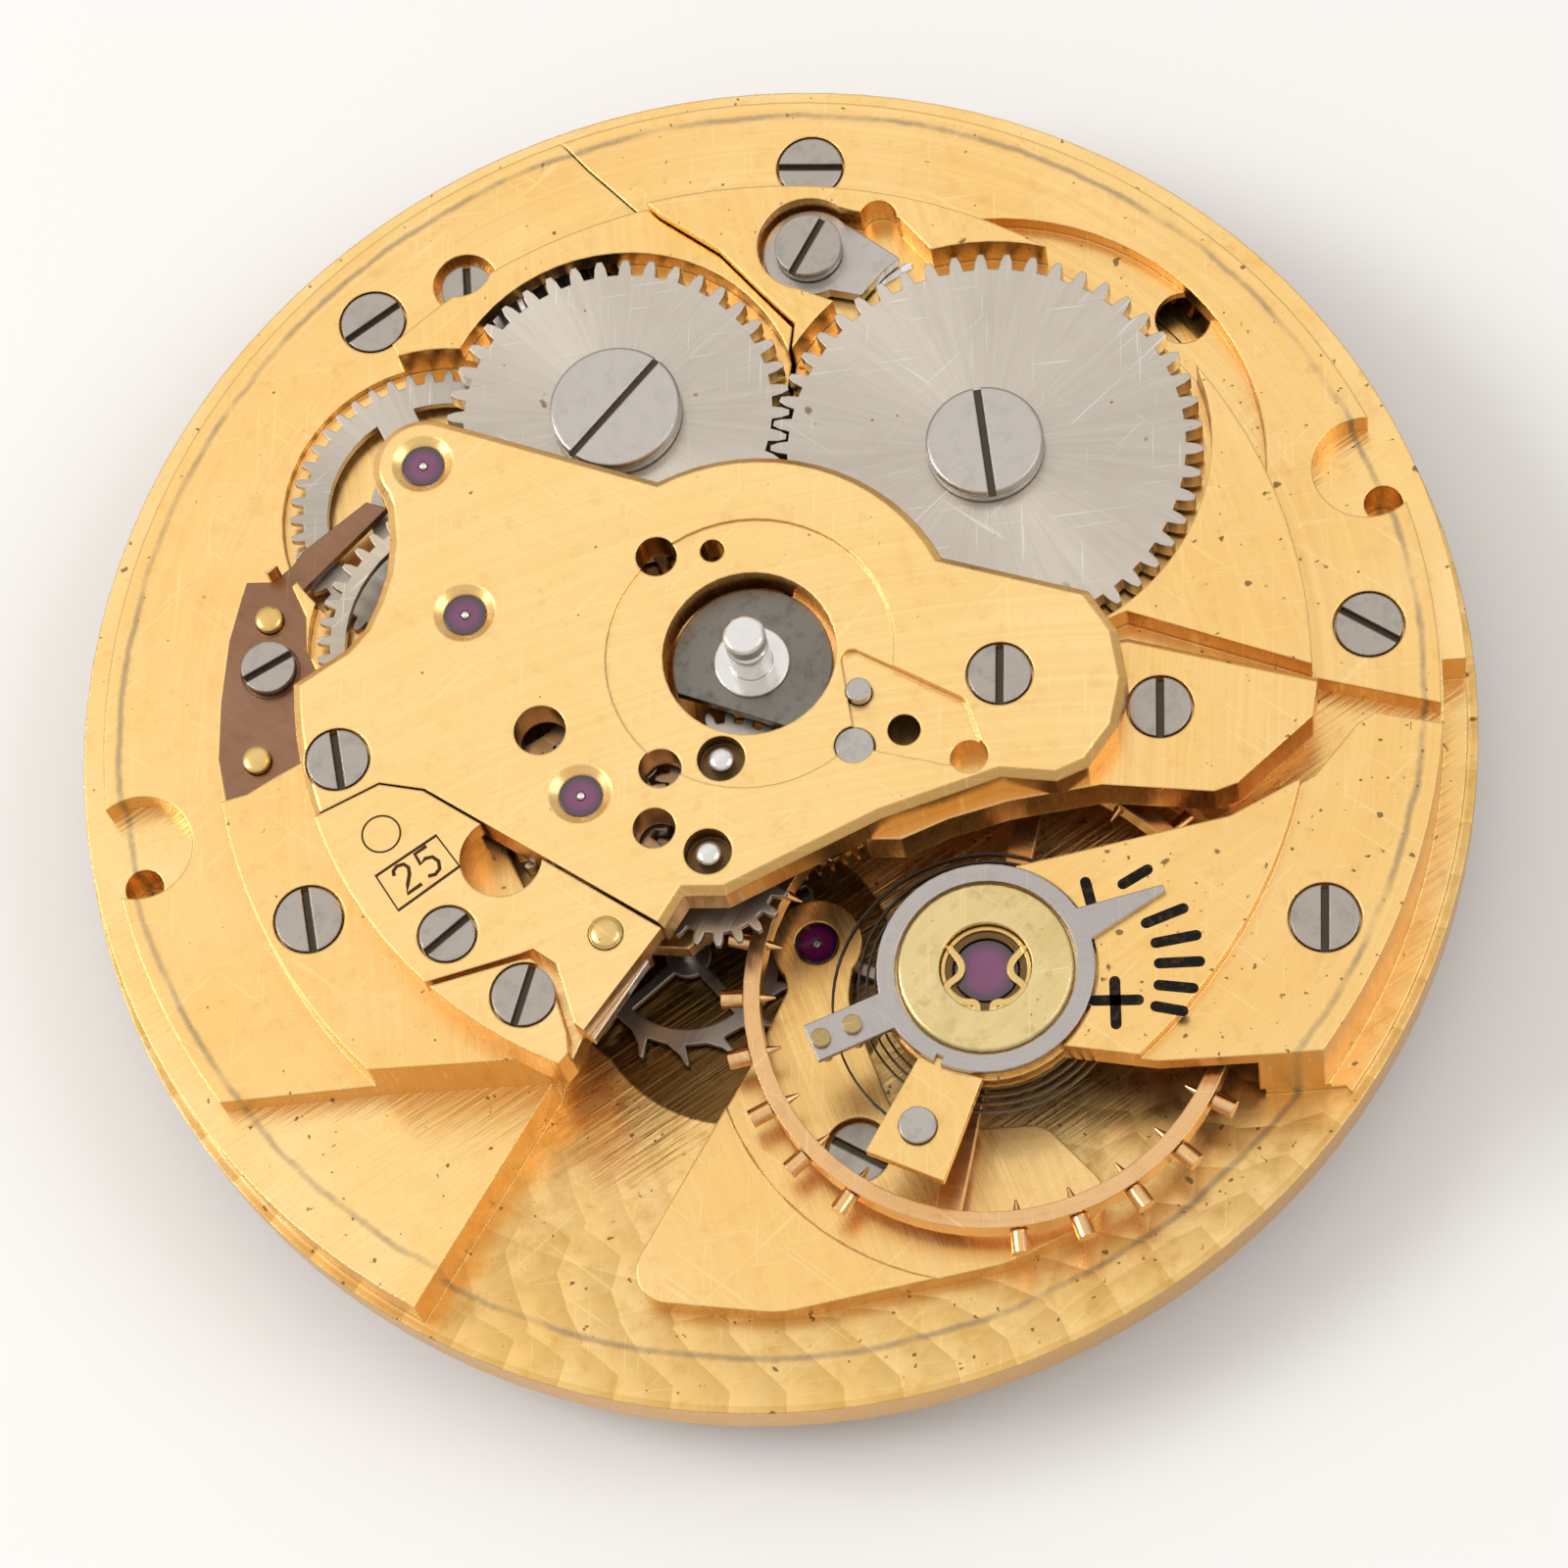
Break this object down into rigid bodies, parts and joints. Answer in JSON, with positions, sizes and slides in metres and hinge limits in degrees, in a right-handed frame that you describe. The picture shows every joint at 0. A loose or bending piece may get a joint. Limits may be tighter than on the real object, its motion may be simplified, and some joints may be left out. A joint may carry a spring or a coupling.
{
  "type": "watch movement",
  "caption": "Mechanical automatic watch movement without its rotor: gilt plates, steel winding wheels, going train, escapement, balance with hairspring and keyless works.",
  "frame": {"origin": "on the movement's axis, at the face that the dial rests on", "axes": "+Z towards the train side (the bridges), +Y out along the winding stem"},
  "size_m": [0.026, 0.026, 0.0073],
  "materials": {
    "gold_brass": "gold-plated brass, fine brushed",
    "peach_gold": "gold-plated brass with a peach tint, arched fine brushing",
    "steel": "ground steel, radial grain",
    "bright_steel": "polished steel",
    "dark_steel": "dark mottled steel",
    "blue_grey_steel": "bluish grey steel",
    "yellow_brass": "yellow brass",
    "brown_bronze": "brown bronze",
    "rose_copper": "rose-copper coloured balance alloy",
    "ruby": "polished magenta-purple synthetic ruby",
    "lavender_steel": "lavender grey steel",
    "spring_steel": "dark spring steel"
  },
  "bodies": {
    "frame": {"mainplate": "gold_brass", "barrel_bridge": "gold_brass", "train_bridge": "gold_brass", "tail_plate": "gold_brass", "cover_base": "peach_gold", "locking_bar": "bright_steel", "automatic_bridge": "peach_gold", "cover_plate": "peach_gold", "balance_cock": "gold_brass", "pallet_bridge": "gold_brass", "crown_wheel_screw": "steel", "click_spring": "bright_steel", "hairspring": "spring_steel", "stud_carrier": "yellow_brass", "hairspring_stud": "bright_steel", "shock_block": "yellow_brass", "shock_spring": "yellow_brass", "steel_pins": "bright_steel", "post_disc": "dark_steel", "rotor_post": "bright_steel", "wheel_guard": "brown_bronze", "brass_pins": "yellow_brass", "jewels": "ruby", "bridge_screws": "bright_steel", "automatic_screws": "bright_steel", "small_screws": "bright_steel"},
    "barrel": {"barrel_drum": "yellow_brass", "barrel_cover": "yellow_brass", "mainspring": "spring_steel"},
    "ratchet": {"barrel_arbor": "steel", "ratchet_wheel": "steel", "ratchet_screw": "steel"},
    "crown": {"crown_wheel": "steel"},
    "click": {"click": "bright_steel"},
    "slotted": {"slotted_wheel": "blue_grey_steel"},
    "spoked": {"spoked_wheel": "yellow_brass"},
    "driving": {"driving_gear": "steel"},
    "reverser_one_up": {"reverser_one_upper": "steel"},
    "reverser_two_up": {"reverser_two_upper": "steel"},
    "reverser_one_low": {"reverser_one_lower": "steel"},
    "reverser_two_low": {"reverser_two_lower": "steel"},
    "centre": {"centre_wheel": "yellow_brass"},
    "third": {"third_wheel": "yellow_brass"},
    "fourth": {"fourth_wheel": "yellow_brass"},
    "seconds": {"seconds_pinion": "bright_steel"},
    "escape": {"escape_wheel": "bright_steel"},
    "cannon": {"cannon_pinion": "bright_steel"},
    "minute": {"minute_wheel": "yellow_brass"},
    "hour": {"hour_wheel": "yellow_brass"},
    "pallets": {"pallet_fork": "bright_steel", "pallet_stones": "ruby"},
    "balance": {"balance_wheel": "rose_copper", "timing_screws": "rose_copper", "balance_staff": "bright_steel", "roller": "bright_steel"},
    "regulator": {"regulator": "lavender_steel", "regulator_pins": "yellow_brass"},
    "winding": {"winding_pinion": "steel"},
    "clutch": {"sliding_clutch": "steel"},
    "lever": {"setting_lever": "bright_steel"}
  },
  "joints": [
    {"name": "barrel_turn", "type": "hinge", "parent": "frame", "child": "barrel", "pos_m": [0.00572, 0.00217, 0.0011], "axis": [0, 0, 1], "continuous": true},
    {"name": "ratchet_turn", "type": "hinge", "parent": "frame", "child": "ratchet", "pos_m": [0.00572, 0.00217, 0.003], "axis": [0, 0, 1], "continuous": true},
    {"name": "crown_turn", "type": "hinge", "parent": "frame", "child": "crown", "pos_m": [0, 0.00608, 0.003], "axis": [0, 0, 1], "continuous": true},
    {"name": "click_lift", "type": "hinge", "parent": "frame", "child": "click", "pos_m": [0.00465, 0.00746, 0.00298], "axis": [0, 0, 1], "range_deg": [0, 12]},
    {"name": "slotted_turn", "type": "hinge", "parent": "frame", "child": "slotted", "pos_m": [-0.00369, 0.00623, 0.00266], "axis": [0, 0, 1], "continuous": true},
    {"name": "spoked_turn", "type": "hinge", "parent": "frame", "child": "spoked", "pos_m": [-0.00423, 0.00316, 0.0035], "axis": [0, 0, 1], "continuous": true},
    {"name": "driving_turn", "type": "hinge", "parent": "frame", "child": "driving", "pos_m": [-0.00384, -0.00103, 0.00346], "axis": [0, 0, 1], "continuous": true},
    {"name": "reverser_one_up_turn", "type": "hinge", "parent": "frame", "child": "reverser_one_up", "pos_m": [-0.00132, -0.00159, 0.0036], "axis": [0, 0, 1], "continuous": true},
    {"name": "reverser_two_up_turn", "type": "hinge", "parent": "frame", "child": "reverser_two_up", "pos_m": [-0.00229, -0.00309, 0.0033], "axis": [0, 0, 1], "continuous": true},
    {"name": "reverser_one_low_turn", "type": "hinge", "parent": "frame", "child": "reverser_one_low", "pos_m": [-0.00132, -0.00159, 0.00307], "axis": [0, 0, 1], "continuous": true},
    {"name": "reverser_two_low_turn", "type": "hinge", "parent": "frame", "child": "reverser_two_low", "pos_m": [-0.00229, -0.00309, 0.00307], "axis": [0, 0, 1], "continuous": true},
    {"name": "winding_turn", "type": "hinge", "parent": "frame", "child": "winding", "pos_m": [0, 0.00917, 0.0015], "axis": [0, 1, 0], "continuous": true},
    {"name": "centre_turn", "type": "hinge", "parent": "frame", "child": "centre", "pos_m": [0, 0, 0.0015], "axis": [0, 0, 1], "continuous": true},
    {"name": "third_turn", "type": "hinge", "parent": "frame", "child": "third", "pos_m": [-0.00232, 0.00277, 0.00186], "axis": [0, 0, 1], "continuous": true},
    {"name": "fourth_turn", "type": "hinge", "parent": "frame", "child": "fourth", "pos_m": [-0.00385, -0.00051, 0.00216], "axis": [0, 0, 1], "continuous": true},
    {"name": "seconds_turn", "type": "hinge", "parent": "frame", "child": "seconds", "pos_m": [0, 0, 0.0019], "axis": [0, 0, 1], "continuous": true},
    {"name": "escape_turn", "type": "hinge", "parent": "frame", "child": "escape", "pos_m": [-0.0033, -0.00325, 0.0008], "axis": [0, 0, 1], "continuous": true},
    {"name": "cannon_turn", "type": "hinge", "parent": "frame", "child": "cannon", "pos_m": [0, 0, 0.00035], "axis": [0, 0, 1], "continuous": true},
    {"name": "minute_turn", "type": "hinge", "parent": "frame", "child": "minute", "pos_m": [0.0019, 0.0016, 0.00036], "axis": [0, 0, 1], "continuous": true},
    {"name": "hour_turn", "type": "hinge", "parent": "frame", "child": "hour", "pos_m": [0, 0, 0.00017], "axis": [0, 0, 1], "continuous": true},
    {"name": "pallet_rock", "type": "hinge", "parent": "frame", "child": "pallets", "pos_m": [-0.00114, -0.00438, 0.0008], "axis": [0, 0, 1], "range_deg": [-5.5, 5.5]},
    {"name": "balance_swing", "type": "hinge", "parent": "frame", "child": "balance", "pos_m": [0.00117, -0.00695, 0.0022], "axis": [0, 0, 1], "range_deg": [-270, 270], "stiffness_Nm_per_rad": 0.0000002},
    {"name": "regulator_turn", "type": "hinge", "parent": "frame", "child": "regulator", "pos_m": [0.00117, -0.00695, 0.00358], "axis": [0, 0, 1], "range_deg": [-35, 8]},
    {"name": "clutch_slide", "type": "slide", "parent": "frame", "child": "clutch", "axis": [0, -1, 0], "range_m": [0, 0.00045]},
    {"name": "lever_turn", "type": "hinge", "parent": "frame", "child": "lever", "pos_m": [-0.00134, 0.01037, 0.00009], "axis": [0, 0, 1], "range_deg": [0, 12.1]}
  ],
  "couplings": [
    {"joint": "crown_turn", "follows": "slotted_turn", "ratio": -0.2},
    {"joint": "ratchet_turn", "follows": "slotted_turn", "ratio": 0.16},
    {"joint": "spoked_turn", "follows": "slotted_turn", "ratio": -7.6667},
    {"joint": "driving_turn", "follows": "slotted_turn", "ratio": 15.667},
    {"joint": "reverser_one_up_turn", "follows": "slotted_turn", "ratio": -18.017},
    {"joint": "reverser_two_up_turn", "follows": "slotted_turn", "ratio": -18.017},
    {"joint": "reverser_one_low_turn", "follows": "slotted_turn", "ratio": -18.017},
    {"joint": "reverser_two_low_turn", "follows": "slotted_turn", "ratio": 18.017},
    {"joint": "winding_turn", "follows": "slotted_turn", "ratio": 0.5},
    {"joint": "centre_turn", "follows": "third_turn", "ratio": -0.125},
    {"joint": "barrel_turn", "follows": "third_turn", "ratio": 0.019737},
    {"joint": "fourth_turn", "follows": "third_turn", "ratio": -7.5},
    {"joint": "seconds_turn", "follows": "third_turn", "ratio": -7.5},
    {"joint": "escape_turn", "follows": "third_turn", "ratio": 75},
    {"joint": "cannon_turn", "follows": "third_turn", "ratio": -0.125},
    {"joint": "minute_turn", "follows": "third_turn", "ratio": 0.041667},
    {"joint": "hour_turn", "follows": "third_turn", "ratio": -0.010417},
    {"joint": "lever_turn", "follows": "clutch_slide", "rad_per_m": 465}
  ]
}
